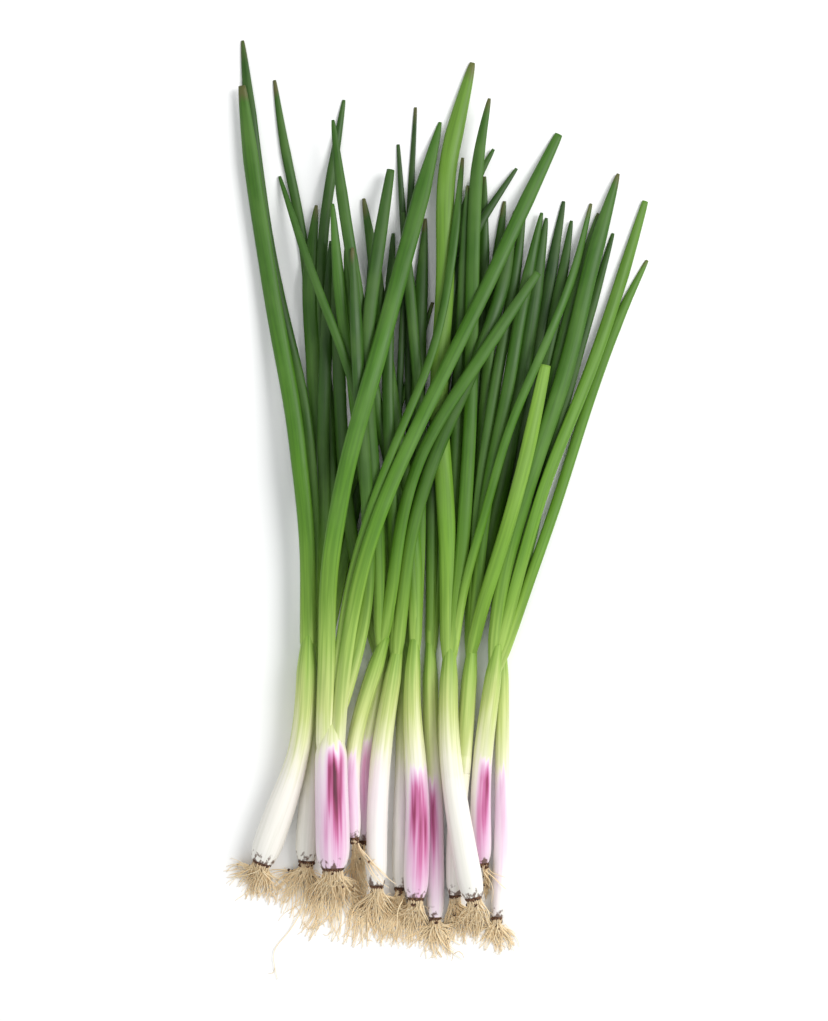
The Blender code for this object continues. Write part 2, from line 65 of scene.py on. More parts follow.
# %% Routes of the stems and leaves, seen from above
# stem: the route from foot to neck top. widths: at the foot, at the colour line and at the
# neck top. shank: length of the white or purple part. roots: count, reach and half of the
# fan's angle in degrees.
PLANTS = {
    "01": {
        "stem": [(-72.5, -141), (-65.5, -120), (-57.5, -99), (-55, -76), (-54, -50)],
        "widths": (12.5, 9, 8.5), "shank": 45, "roots": (9, 17, 62),
    },
    "02": {
        "stem": [(-55, -141), (-52, -99), (-51, -76), (-50, -50)],
        "widths": (10, 8.5, 7), "shank": 42, "roots": (8, 24, 40),
    },
    "03": {
        "stem": [(-44, -142), (-44, -120), (-45, -97), (-44, -85)],
        "widths": (14, 13, 9), "shank": 45, "roots": (10, 33, 40),
    },
    "04": {
        "stem": [(-31, -133), (-32, -112), (-31, -94), (-27, -76), (-23, -54)],
        "widths": (8, 7.5, 7), "shank": 39, "roots": (7, 44, 14),
    },
    "05": {
        "stem": [(-26.5, -150), (-26.5, -124), (-25, -98), (-21.5, -76), (-18, -54)],
        "widths": (8.5, 8.5, 7), "shank": 52, "roots": (8, 29, 36),
    },
    "06": {
        "stem": [(-17, -152), (-17, -124), (-16, -102), (-16, -76), (-15, -54)],
        "widths": (7, 6, 5.5), "shank": 50, "roots": (7, 25, 32),
    },
    "07": {
        "stem": [(-11, -155), (-10, -124), (-11, -98), (-13, -76), (-11, -50)],
        "widths": (10.5, 9, 6.5), "shank": 55, "roots": (8, 21, 48),
    },
    "08": {
        "stem": [(-3, -164), (-3, -136), (-4, -104), (-5, -76), (-5, -54)],
        "widths": (7.5, 7.5, 6.5), "shank": 60, "roots": (6, 18, 50),
    },
    "09": {
        "stem": [(5, -155), (5, -128), (8, -102), (10, -76), (12, -54)],
        "widths": (7.5, 7.5, 6.5), "shank": 50, "roots": (6, 20, 40),
    },
    "10": {
        "stem": [(12, -154), (7, -128), (3, -102), (2, -76), (3, -54)],
        "widths": (10.5, 9, 7.5), "shank": 55, "roots": (8, 21, 46),
    },
    "11": {
        "stem": [(16, -142), (15, -120), (16, -99), (19, -76), (22, -54)],
        "widths": (8.5, 8, 7), "shank": 44, "roots": (8, 16, 60),
    },
    "12": {
        "stem": [(22, -164), (24, -136), (24, -102), (24, -76), (24, -54)],
        "widths": (6.5, 6, 5.5), "shank": 62, "roots": (7, 15, 55),
    },
    "13": {
        "stem": [(-35.5, -131), (-36.5, -114), (-36.5, -98), (-34, -85), (-30, -73), (-26, -60),
                 (-23, -50)],
        "widths": (6.6, 6.6, 6.6), "shank": 31, "roots": (7, 24, 45),
    },
}

# The leaves of each: width, the route to the tip, and the width of a blunt tip
LEAVES = {
    "01": [
        (5.4, [(-53, -62), (-52, 4), (-56, 44), (-64, 76), (-71, 108), (-77, 152), (-81, 190)]),
        (7.0, [(-54, -62), (-54, -12), (-60, 40), (-67, 76), (-75, 124), (-81, 171)], 3.0),
    ],
    "02": [
        (4.0, [(-50, -62), (-51, 4), (-53, 44), (-54, 84), (-57, 114), (-64, 146), (-68, 174)]),
        (6.8, [(-49, -62), (-49, -12), (-51, 44), (-54, 92), (-51, 123)]),
        (4.4, [(-49, -62), (-44, -8), (-45, 32), (-49, 84), (-48, 116), (-44, 140), (-40, 166)]),
        (5.4, [(-50, -62), (-48, -10), (-48, 40), (-46, 80), (-45, 108)]),
        (5.6, [(-49, -62), (-42, -30), (-36, 0), (-31, 36), (-29, 76), (-29, 108)]),
        (2.8, [(-50, -62), (-40, -4), (-34, 20), (-25, 28), (-18, 39), (-11, 62), (-4, 84)]),
    ],
    "03": [
        (5.4, [(-43, -86), (-36, -64), (-30, -36), (-30, 4), (-33, 44), (-35, 84), (-36, 104)]),
        (3.6, [(-45, -80), (-38, -32), (-29, 0), (-17, 32), (-7, 54), (0, 78), (5, 112), (8, 142)]),
        (7.2, [(-47, -102), (-47.5, -82), (-46, -60), (-46, -28), (-39, 14), (-25, 64),
               (-14, 106), (-1, 157)]),
        (6.0, [(-42.4, -102), (-41.2, -80), (-38, -52), (-32, -21), (-20, 12), (-3, 48),
               (18, 90), (31, 119), (47, 152)], 3.2),
    ],
    "04": [
        (5.6, [(-25, -62), (-32, -34), (-38, -4), (-41, 36), (-42, 72), (-43, 108)]),
        (5.6, [(-25, -62), (-28, -20), (-32, 20), (-36, 52), (-37, 84), (-39, 104)]),
    ],
    "05": [
        (5.0, [(-19, -62), (-23, -4), (-32, 32), (-39, 68), (-42, 96), (-44, 122)]),
        (4.8, [(-19, -62), (-20, -8), (-22, 36), (-22, 76), (-20, 112)]),
        (5.6, [(-19, -62), (-13, -8), (-1, 28), (14, 60), (25, 92), (29, 121)]),
    ],
    "06": [
        (2.8, [(-15, -62), (-13, 4), (-14, 60), (-14, 108), (-11, 163)]),
        (2.8, [(-16, -62), (-19, 4), (-17, 60), (-15, 100), (-18, 148)]),
        (5.6, [(-15, -62), (-12, -8), (-10, 40), (-9, 84), (-7, 118)]),
    ],
    "07": [
        (4.6, [(-11, -60), (-9, -8), (-9, 40), (-13, 84), (-16, 120)]),
        (5.4, [(-11, -60), (-11, -12), (-17, 24), (-23, 64), (-27, 96), (-32, 126)]),
        (4.8, [(-11, -60), (-13, -16), (-19, 8), (-27, 44), (-35, 92), (-41, 130), (-44, 156)]),
    ],
    "08": [
        (5.0, [(-5, -62), (-1, -8), (5, 40), (9, 84), (10, 124)]),
        (4.8, [(-5, -62), (-4, -8), (-2, 28), (4, 80), (8, 120), (16, 139), (22, 145)]),
        (4.0, [(-5, -62), (-5, -4), (-3, 48), (5, 97), (19, 122), (30, 138)]),
    ],
    "09": [
        (6.2, [(11, -62), (17, -20), (25, 12), (30, 44), (35, 72), (39, 100), (42, 118)]),
        (5.0, [(11, -62), (12, 24), (16, 80), (17, 135)]),
        (5.2, [(11, -62), (16, 28), (20, 84), (25, 125)]),
        (5.0, [(11, -62), (14, 0), (21, 50), (29, 92), (33, 122)]),
        (5.2, [(11, -62), (17, 4), (26, 48), (32, 84), (40, 120)]),
        (6.0, [(11, -62), (14, -44), (23, -16), (33, 20), (41, 58)], 4.6),
    ],
    "10": [
        (5.0, [(3, -62), (4, -10), (6, 40), (8, 84), (10, 130)]),
        (7.6, [(2, -62), (2, -12), (-2, 44), (1, 92), (1, 136), (12, 181)], 2.2),
        (5.6, [(3, -62), (8, -16), (11, 36), (12, 104), (14, 144), (19, 165)]),
        (3.6, [(4, -62), (8, -32), (15, -8), (26, 32), (39, 62), (52, 92), (60, 124)]),
    ],
    "11": [
        (4.6, [(21, -66), (27, -52), (32, -36), (45, 0), (59, 44), (72, 80), (83, 101)]),
        (4.8, [(21, -62), (27, -24), (38, 22), (47, 64), (56, 98), (63, 120)]),
        (6.8, [(20, -62), (24, -26), (34, 10), (50, 58), (60, 100), (71, 136)]),
        (5.2, [(21, -62), (32, -20), (42, 14), (58, 52), (72, 92), (82, 125)], 2.6),
    ],
    "12": [
        (5.2, [(24, -62), (26, 4), (35, 48), (43, 92), (49, 125)]),
        (5.2, [(24, -62), (28, -16), (38, 40), (48, 92), (52, 117)]),
        (4.8, [(24, -62), (30, -20), (42, 30), (54, 76), (62, 112)]),
        (4.2, [(24, -62), (32, -28), (42, 16), (55, 64), (69, 112)]),
    ],
    "13": [
        (3.6, [(-25, -57), (-26, -8), (-31, 34), (-41, 66), (-53, 96), (-66, 135)]),
        (5.6, [(-25, -57), (-26, -4), (-30, 44), (-30, 72), (-26, 104), (-21, 137)], 3.2),
        (5.2, [(-25, -57), (-20, -30), (-17, -4), (-8, 25), (7, 49), (38, 95)], 3.0),
    ],
}

# The plants from the bottom of the pile to its top
PILE = ["02", "06", "12", "04", "11", "09", "08", "07", "10", "05", "13", "01", "03"]

# Single roots that stray out of the tuft: plant and route
STRAY_ROOTS = {
    "01": [(-72.5, -142), (-73.5, -145), (-77, -153), (-84, -158)],
    "02": [(-55, -142), (-55, -146), (-56, -160), (-63, -172), (-69, -178), (-67, -190)],
    "08": [(-3, -165), (-3, -168), (0, -176), (8, -182)],
}

print(len(PLANTS), "plants,", sum(len(routes) for routes in LEAVES.values()), "leaves")

# %% [markdown]
# ## How a stem settles on the heap
#
# A stem or a leaf is a springy line. It could be dropped with a rigid-body simulation, but
# that takes minutes and moves the line sideways, off the route that was read. Here it only
# moves up and down: a matrix bends the row of heights towards a straight line, gravity pulls
# it down a little, and whatever already lies underneath pushes it up again. Repeated some
# hundreds of times, first with big steps and then with small ones, it comes to rest.

# %% A springy line and its even stations
STATION = 2.0  # distance between the stations of a stem or a leaf, mm
ROOT_STATION = 1.0  # the same for a root, mm


def stiffener(count, bend):
    """Matrix that bends a row of values towards a straight line."""
    curl = np.diff(np.eye(count), 2, axis=0)
    return np.linalg.inv(np.eye(count) + bend * curl.T @ curl)


def length_along(points):
    """Distance of each point from the first, along the line."""
    steps = np.linalg.norm(np.diff(points, axis=0), axis=1)
    return np.concatenate([[0.0], np.cumsum(steps)])


def stations(route, step, bend=200.0):
    """Evenly spaced points on a smooth line along a given route."""
    points = np.array(route, float)
    for _ in range(2):
        run = length_along(points)
        even = np.linspace(0.0, run[-1], max(round(run[-1] / step), 4) + 1)
        points = np.column_stack([np.interp(even, run, points[:, k]) for k in (0, 1)])
        points = stiffener(len(points), bend) @ points
    return points


print(len(stations(PLANTS["01"]["stem"], STATION)), "stations on the first stem")

# %% What already lies there, and the line that rests on it
GAP = 0.6  # clear height where one piece lies on another, mm
SIDE_GAP = 0.4  # clear width between pieces that lie side by side, mm


class Pile:
    """What already lies there: for each station x, y, z, half width, half thickness, plant."""

    def __init__(self):
        self.rows = np.zeros((0, 6))

    def add(self, points, half_width, half_thick, plant):
        owner = np.full(len(points), float(plant))
        self.rows = np.vstack([self.rows, np.column_stack([points, half_width, half_thick, owner])])

    def height_under(self, plan, half_width, half_thick, plant, part):
        """Lowest heights that clear the pile. part: from 0 to 1, how far off its own plant."""
        x, y, z, wide, thick, owner = self.rows.T
        away = np.hypot(plan[:, :1] - x, plan[:, 1:2] - y)
        reach = half_width[:, None] + wide + SIDE_GAP
        rise = half_thick[:, None] + thick + GAP
        apart = np.where(owner == float(plant), part[:, None], 1.0)
        lift = rise * np.sqrt(np.clip(1.0 - (away / reach) ** 2, 0.0, 1.0)) * apart
        meets = (away < reach) & (apart > 0.0)
        return np.where(meets, z + lift, 0.0).max(axis=1, initial=0.0)


def lay(floor, start, bend, sag):
    """Heights of a springy line that rests on the floor, with its first stations held."""
    z = np.full(len(floor), floor.max())
    held = len(start)
    for pace in (1.0, 0.1, 0.01):
        spring = stiffener(len(floor), bend * pace)
        for _ in range(300):
            z = np.maximum(spring @ (z - sag * pace), floor)
            z[:held] = start
    return z


# %% [markdown]
# ## How wide each piece is along its length
#
# A shank has a slight bulb near its foot and narrows to the neck. A leaf leaves the neck
# narrow, because it is still rolled up in the sheath, opens to its full width and then tapers
# to the tip. Both are worked out from a few widths in millimetres.

# %% Widths of a leaf and of a stem
NECK_CLOSING = 14.0  # length over which a neck closes round the feet of its leaves, mm
NECK_END = 5.0  # width of its end, at most, mm
LEAF_OPENING = 55.0  # length over which a leaf opens to its full width, mm
TIP_TAPER = 30.0  # length over which it narrows to its tip, mm
TIP_WIDTH = 1.3  # width of a pointed tip, mm


def leaf_half_width(run, foot, width, tip):
    """Half width along a leaf, from the neck to the tip."""
    body = foot + (width - foot) * np.clip(run / LEAF_OPENING, 0.0, 1.0) ** 0.7
    left = np.clip((run[-1] - run) / TIP_TAPER, 0.0, 1.0)
    return 0.5 * body * (tip + (width - tip) * left**0.7) / width


def stem_half_width(run, plant):
    """Half width along a stem, with the slight bulb near its foot."""
    foot, line, top = plant["widths"]
    closing = min(NECK_CLOSING, 0.4 * (run[-1] - plant["shank"]))
    knots = [0.0, 3.0, 9.0, 22.0, plant["shank"], run[-1] - closing, run[-1]]
    bulb = [0.72 * foot, 0.93 * foot, foot, 0.86 * foot + 0.14 * line]
    widths = [*bulb, line, top, min(0.6 * top, NECK_END)]
    return 0.5 * np.interp(run, knots, widths)


print("the first stem narrows to", 2 * stem_half_width(np.arange(90.0), PLANTS["01"])[-1], "mm")

# %% [markdown]
# ## The whole heap
#
# The plants are laid from the bottom of the heap to its top. Sister leaves share a sheath, so
# they don't push each other apart until they are some way out of the neck.

# %% Lay every stem and leaf
STEM_SIDES, LEAF_SIDES = 12, 8  # sides of the plain solids
LEAF_FLATNESS = 0.56  # a leaf's thickness over its width
HELD = 4.0  # length of a leaf's foot that keeps the height of its stem, mm
LEAF_SPREAD = (30.0, 80.0)  # from here to here along a leaf it parts from its sisters, mm
PRESS = 0.3  # how far a stem's own weight flattens its underside, mm
STEM_BEND, STEM_SAG = 100000.0, 2.5
LEAF_BEND, LEAF_SAG = 20000.0, 1.2
ROOT_BEND, ROOT_SAG = 600.0, 1.5


def lay_bunch():
    """Lay every stem and leaf in the order of the pile."""
    pile = Pile()
    stems, leaves = {}, {}
    for name in PILE:
        plant = PLANTS[name]
        plan = stations(plant["stem"], STATION)
        run = length_along(plan)
        radius = stem_half_width(run, plant)
        ground = radius * math.cos(math.pi / STEM_SIDES) - PRESS
        floor = np.maximum(pile.height_under(plan, radius, radius, name, np.ones(len(run))), ground)
        height = lay(floor, floor[:0], STEM_BEND, STEM_SAG)
        stems[name] = np.column_stack([plan, height]), radius
        leaves[name] = []
        for width, route, *tip in LEAVES[name]:
            plan = stations(route, STATION)
            run = length_along(plan)
            foot = min(width, 0.8 * plant["widths"][2])
            half = leaf_half_width(run, foot, width, tip[0] if tip else TIP_WIDTH)
            thick = half * LEAF_FLATNESS
            parted = np.clip((run - LEAF_SPREAD[0]) / (LEAF_SPREAD[1] - LEAF_SPREAD[0]), 0.0, 1.0)
            ground = thick * math.cos(math.pi / LEAF_SIDES)
            floor = np.maximum(pile.height_under(plan, half, thick, name, parted), ground)
            inside = run <= HELD
            stem_points = stems[name][0]
            start = np.interp(plan[inside, 1], stem_points[:, 1], stem_points[:, 2])
            height = lay(floor, start, LEAF_BEND, LEAF_SAG)
            points = np.column_stack([plan, height])
            leaves[name].append((points, half))
            pile.add(points, half, thick, name)
        pile.add(stems[name][0], stems[name][1], stems[name][1], name)
    return stems, leaves


stems, leaves = lay_bunch()
tops = [(points[:, 2] + radius).max() for points, radius in stems.values()]
print("top of the highest stem:", round(max(tops), 1), "mm")

# %% [markdown]
# ## Skins along a line
#
# Stems, leaves and roots are all tubes, so one small class collects rings of points, closes
# them to a skin and remembers for every point where on the plant it is. Blender's own curves
# could sweep a tube too, but a curve has one outline for its whole length, and a leaf changes
# from round to flat and rolls over as it goes.
#
# What is remembered is what the colours need later: "skin" is a place on the unrolled
# surface in millimetres, "rise" the distance above the colour line where white turns to
# green, "tip" the distance to the leaf's tip, "foot" the distance from the root plate, "tint"
# a number for each leaf or root and "blush" how purple the skin may be.

# %% Rings of points, closed to a skin
PLACES = ("rise", "tip", "foot", "tint", "blush")


class Skin:
    """Collects closed tubes for one mesh, in millimetres."""

    def __init__(self):
        self.points, self.faces, self.slots = [], [], []
        self.skin, self.places = [], {place: [] for place in PLACES}
        self.count = 0

    def tube(self, rings, skin, slot=0, crisp_ends=False, **places):
        """Add rings of points along a line; a place is one number, or one for each ring or point.

        With crisp ends the end discs have points of their own, so they don't bend the shading.
        """
        if crisp_ends:
            rings, skin = (np.concatenate([part[:1], part, part[-1:]]) for part in (rings, skin))
            places = {place: np.concatenate([part[:1], part, part[-1:]]) for place, part in places.items()}
        length, sides = rings.shape[:2]
        number = self.count + np.arange(length * sides).reshape(length, sides)
        turned = np.roll(number, -1, axis=1)
        sheet = np.stack([number[:-1], turned[:-1], turned[1:], number[1:]], axis=-1)
        sheet = sheet[1:-1] if crisp_ends else sheet
        faces = [tuple(face) for face in sheet.reshape(-1, 4).tolist()]
        end = self.count + length * sides
        faces += [(end, b, a) for a, b in zip(number[0].tolist(), turned[0].tolist())]
        faces += [(end + 1, a, b) for a, b in zip(number[-1].tolist(), turned[-1].tolist())]
        ends = np.stack([rings[0].mean(axis=0), rings[-1].mean(axis=0)])
        self.points.append(np.vstack([rings.reshape(-1, 3), ends]))
        self.faces += faces
        self.slots += [slot] * len(faces)
        self.skin.append(np.vstack([skin.reshape(-1, 3), skin[0].mean(axis=0), skin[-1].mean(axis=0)]))
        for place in PLACES:
            value = np.asarray(places.get(place, 0.0), float)
            if value.ndim == 1:
                value = value[:, None]
            value = np.broadcast_to(value, (length, sides))
            self.places[place].append(np.concatenate([value.ravel(), [value[0, 0], value[-1, 0]]]))
        self.count = end + 2

    def make(self, name, materials):
        """The object, with its attributes, resting on the table at its lowest."""
        points = np.vstack(self.points)
        points[:, 2] = np.maximum(points[:, 2], 0.0)
        mesh = bpy.data.meshes.new(name)
        mesh.from_pydata((points * MM).tolist(), [], self.faces)
        for material in materials:
            mesh.materials.append(material)
        mesh.polygons.foreach_set("material_index", self.slots)
        skin = mesh.attributes.new("skin", "FLOAT_VECTOR", "POINT")
        skin.data.foreach_set("vector", np.vstack(self.skin).ravel())
        for place, values in self.places.items():
            mesh.attributes.new(place, "FLOAT", "POINT").data.foreach_set("value", np.concatenate(values))
        mesh.shade_smooth()
        piece = bpy.data.objects.new(name, mesh)
        bpy.context.scene.collection.objects.link(piece)
        return piece


print("kept for every point: skin,", ", ".join(PLACES))

# %% Frames and outlines along a line
def sides_and_tops(points):
    """Unit vectors along, to the side of and above each station of a line."""
    along = np.gradient(points, axis=0)
    along /= np.linalg.norm(along, axis=1, keepdims=True)
    side = np.cross([0.0, 0.0, 1.0], along)
    side /= np.linalg.norm(side, axis=1, keepdims=True)
    return along, side, np.cross(along, side)


def rings_round(points, across, up, roll=0.0, slant=0.0):
    """Rings of points: across and up are the outline in mm, for each station and side.

    roll turns the outline about the line, and slant leans a ring along the line.
    """
    along, side, above = sides_and_tops(points)
    roll = np.asarray(roll, float).reshape(-1, 1)
    a = across * np.cos(roll) - up * np.sin(roll)
    b = across * np.sin(roll) + up * np.cos(roll)
    rings = points[:, None] + a[..., None] * side[:, None] + b[..., None] * above[:, None]
    lean = np.asarray(slant, float).reshape(-1, 1) * across
    return rings + lean[..., None] * along[:, None]


def unrolled(run, angle, radius, start):
    """Places on the unrolled skin: on a circle of even size, and along the tube."""
    places = np.empty((len(run), len(angle), 3))
    places[..., 0] = radius * np.cos(angle)
    places[..., 1] = radius * np.sin(angle)
    places[..., 2] = (run + start)[:, None]
    return places


def ripple(rng, run, angle, pace, turns=(1, 2, 3)):
    """Soft unevenness from 0 to 1 for each station and side."""
    total = np.zeros((len(run), len(angle)))
    for turn in turns:
        phase, speed = rng.uniform(0.0, 6.3), rng.uniform(0.6, 1.4) / pace
        total += np.sin(turn * angle[None] + phase + speed * run[:, None]) / len(turns)
    return 0.5 + 0.5 * total


def resample(line, step):
    """The same line with evenly spaced rows, and the distance along it."""
    run = length_along(line[:, :3])
    even = np.linspace(0.0, run[-1], max(round(run[-1] / step), 3) + 1)
    return np.column_stack([np.interp(even, run, column) for column in line.T]), even


print(len(resample(stems["01"][0], 1.0)[1]), "rings on the first stem")

# %% [markdown]
# ## Colours and nodes
#
# The colours are picked as sRGB hex values, and one function turns them to the linear values
# that a shader works in. Another adds a node with its settings and links, so that every
# material below reads as a list of steps.

# %% Colours in, nodes out
def linear(hex_colour):
    """A hex colour as the four linear values of a shader socket."""
    channels = [int(hex_colour[k : k + 2], 16) / 255 for k in (1, 3, 5)]
    return [c / 12.92 if c <= 0.04045 else ((c + 0.055) / 1.055) ** 2.4 for c in channels] + [1.0]


def add_node(tree, kind, inputs=(), output=0, stops=(), **settings):
    """Add one node and return an output. settings are the node's own fields.

    inputs go to its sockets in their order, or by name or number. Each is a value, a hex
    colour or an output of another node. stops are the places and colours of a ramp.
    """
    made = tree.nodes.new("ShaderNode" + kind)
    for field, value in settings.items():
        setattr(made, field, value)
    for socket, value in inputs.items() if isinstance(inputs, dict) else enumerate(inputs):
        if isinstance(value, bpy.types.NodeSocket):
            tree.links.new(value, made.inputs[socket])
        else:
            made.inputs[socket].default_value = linear(value) if isinstance(value, str) else value
    for _ in stops[2:]:
        made.color_ramp.elements.new(0.5)
    for k, (place, colour) in enumerate(stops):
        made.color_ramp.elements[k].position = place
        made.color_ramp.elements[k].color = linear(colour)
    return made.outputs[output]


def new_material(name):
    """An empty material, its tree and its shader."""
    material = bpy.data.materials.new(name)
    material.use_nodes = True
    return material, material.node_tree, material.node_tree.nodes["Principled BSDF"]


print("white in linear:", [round(c, 3) for c in linear("#f6f3ea")])

# %% [markdown]
# ## The skin of a spring onion
#
# From the root plate to the leaf tips it is one living skin: a cuticle with a thin wax
# bloom over wet tissue. That gives a soft satin shine and long parallel veins. A separate
# material for shank, neck and leaf would show a border where the real plant has none, so one
# recipe serves them all, and the distance from the colour line decides the colour. The line
# itself is drawn out in streaks, because each vein turns green at its own height.
#
# Real veins are about 0.4 mm apart, too fine for the picture, so these are further apart.

# %% Recipe for the skin
VEIN = 1.1  # mm between the drawn veins
VEIN_STRETCH = 30.0  # a vein's length over its width
GREEN_STREAK = (3.5, 60.0)  # mm across and along a streak of green
PURPLE_STREAK = (3.4, 60.0)  # the same for purple
BLOOM_PATCH = 14.0  # mm across a patch of wax bloom
SOIL_PATCH = 2.2  # mm across a patch of soil
RISE_SPAN = (-60.0, 200.0)  # mm along the plant that the colour run covers
COLOUR_RUN = (
    (-60, "#f2efe8"), (-14, "#f1ede2"), (-3, "#edead0"), (8, "#dde0ab"), (20, "#c4d080"),
    (42, "#9ab955"), (62, "#779f34"), (90, "#5b8c1d"), (130, "#497a15"), (200, "#3c6a12"),
)
PURPLE_RUN = (
    (0.0, "#f0e5ea"), (0.16, "#ead1e0"), (0.34, "#dba8c8"),
    (0.52, "#c66f9d"), (0.74, "#93395f"), (1.0, "#571730"),
)


def stretched_noise(tree, across, along, detail):
    """Noise on the unrolled skin, in patches so many mm across and along."""
    skin = add_node(tree, "Attribute", output="Vector", attribute_name="skin")
    place = add_node(tree, "Mapping", {"Vector": skin, "Scale": (1 / across, 1 / across, 1 / along)})
    return add_node(tree, "TexNoise", {"Vector": place, "Scale": 1.0, "Detail": detail})


def onion_skin(name, blushes):
    """Waxy skin of a spring onion, from white foot to green tip."""
    material, tree, shader = new_material(name)
    rise, tip, foot, tint = (
        add_node(tree, "Attribute", output="Fac", attribute_name=place) for place in PLACES[:4]
    )
    veins = stretched_noise(tree, VEIN, VEIN * VEIN_STRETCH, 2.0)
    broad = stretched_noise(tree, *GREEN_STREAK, 1.0)
    bloom = stretched_noise(tree, BLOOM_PATCH, BLOOM_PATCH * 1.6, 3.0)

    # The height at which a vein turns green wanders by some 10 mm from vein to vein
    uneven = add_node(tree, "MapRange", [veins, 0.3, 0.7, -4, 4])
    uneven = add_node(tree, "Math", [uneven, add_node(tree, "MapRange", [broad, 0.3, 0.7, -6, 6])])
    height = add_node(tree, "Math", [rise, uneven])
    low, high = RISE_SPAN
    stops = [((mm - low) / (high - low), colour) for mm, colour in COLOUR_RUN]
    colour = add_node(tree, "ValToRGB", [add_node(tree, "MapRange", [height, low, high])], stops=stops)

    # Once they are green, some leaves are younger and yellower and some darker, partly as older
    # leaves and partly as painted shade on those that lie low in the heap. Veins darken the skin
    # a little, and wax bloom greys it in patches.
    green = add_node(tree, "MapRange", [rise, 45.0, 115.0])
    veined = add_node(tree, "MapRange", [rise, -10, 40, 0.35])
    for where, pattern, tone, blend in (
        (green, [tint, 0.5, 0.0, 0.0, 0.9], "#163805", "MIX"),
        (green, [tint, 0.5, 1.0, 0.0, 0.7], "#8db540", "MIX"),
        (veined, [veins, 0.4, 0.62, 0.0, 0.25], "#5b7a35", "MULTIPLY"),
        (green, [bloom, 0.42, 0.7, 0.0, 0.15], "#86a85e", "MIX"),
    ):
        share = add_node(tree, "MapRange", pattern)
        share = add_node(tree, "Math", [where, share], operation="MULTIPLY")
        mix = {0: share, 6: colour, 7: tone}
        colour = add_node(tree, "Mix", mix, 2, data_type="RGBA", blend_type=blend)

    if blushes:
        # Purple shows through in soft streaks, from pale pink to dark red
        blush = add_node(tree, "Attribute", output="Fac", attribute_name="blush")
        for pattern in (
            [stretched_noise(tree, *PURPLE_STREAK, 1.0), 0.34, 0.62, 0.5, 1.25],
            [veins, 0.3, 0.7, 0.72, 1.2],
        ):
            share = add_node(tree, "MapRange", pattern)
            blush = add_node(tree, "Math", [blush, share], operation="MULTIPLY")
        purple = add_node(tree, "ValToRGB", [blush], stops=PURPLE_RUN)
        mix = {0: add_node(tree, "MapRange", [blush, 0.0, 0.12]), 6: colour, 7: purple}
        colour = add_node(tree, "Mix", mix, 2, data_type="RGBA")

    # Old tips dry to brown, and a little soil clings just above the root plate
    grit = stretched_noise(tree, SOIL_PATCH, SOIL_PATCH, 3.0)
    for where, pattern, fading, tone in (
        (tip, [bloom, 0.3, 0.7, -5.0, 6.0], [1.0, 7.0, 0.75, 0.0], "#5d5531"),
        (foot, [grit, 0.35, 0.65, -2.0, 4.0], [0.5, 3.0, 0.9, 0.0], "#5d4130"),
    ):
        ragged = add_node(tree, "Math", [where, add_node(tree, "MapRange", pattern)])
        mix = {0: add_node(tree, "MapRange", [ragged, *fading]), 6: colour, 7: tone}
        colour = add_node(tree, "Mix", mix, 2, data_type="RGBA")
    tree.links.new(colour, shader.inputs["Base Color"])

    rough = add_node(tree, "MapRange", [bloom, 0.35, 0.7, 0.46, 0.62])
    tree.links.new(rough, shader.inputs["Roughness"])
    bump = add_node(tree, "Bump", {"Strength": 0.35, "Distance": 0.00025, "Height": veins})
    tree.links.new(bump, shader.inputs["Normal"])
    shader.inputs["IOR"].default_value = 1.42
    print(name, "has", len(tree.nodes), "nodes")
    return material


white_skin = onion_skin("waxy_skin_of_a_white_onion", blushes=False)
purple_skin = onion_skin("waxy_skin_of_a_purple_onion", blushes=True)

# %% [markdown]
# ## Shanks
#
# The shank is the part that was banked up in the soil, so it stayed white, or blushed
# purple where some light came through. It is firm and almost round. A ring every millimetre
# gives a smooth bulb, and a ripple of a tenth of a millimetre or two keeps it from looking
# turned on a lathe. The blush is strongest on one side, which on most plants here lies upward.

# %% Shanks
MOUTH = 5.0  # mm of the neck that lean to its slanted mouth
MOUTH_SLANT = 0.5  # mm along the neck for each mm across it
THIN_EDGE = 22.0  # mm of the neck below its mouth that get greener
STEM_TURN = 40  # points round a stem
STEM_STEP = 1.0  # mm between the rings of a stem
FAR = 90.0  # mm, further than soil reaches up a stem or drying down a leaf
# How purple each shank is; two of the white ones have a trace of it too
BLUSH = {
    "03": 1.0, "04": 0.42, "05": 0.12, "06": 0.12, "07": 1.0, "08": 0.62, "11": 0.72, "12": 0.3,
    "13": 0.38,
}
BLUSH_SIDE = {"03": 0.15, "07": 0.2, "11": 0.25}  # where across the shank its middle lies
# Where its upper end lies, in mm from the colour line, and its strength by mm from that end
BLUSH_TOP = {"07": -6.0, "08": -7.0, "11": -5.0, "12": -5.0}
BLUSH_RUN = (
    (-60, 0.1), (-44, 0.24), (-35, 0.4), (-26, 0.62), (-16, 0.95), (-4, 1.05), (1, 0.6), (5, 0.0),
)
NOISE_STEP = 97.0  # mm by which the noise is moved on from plant to plant


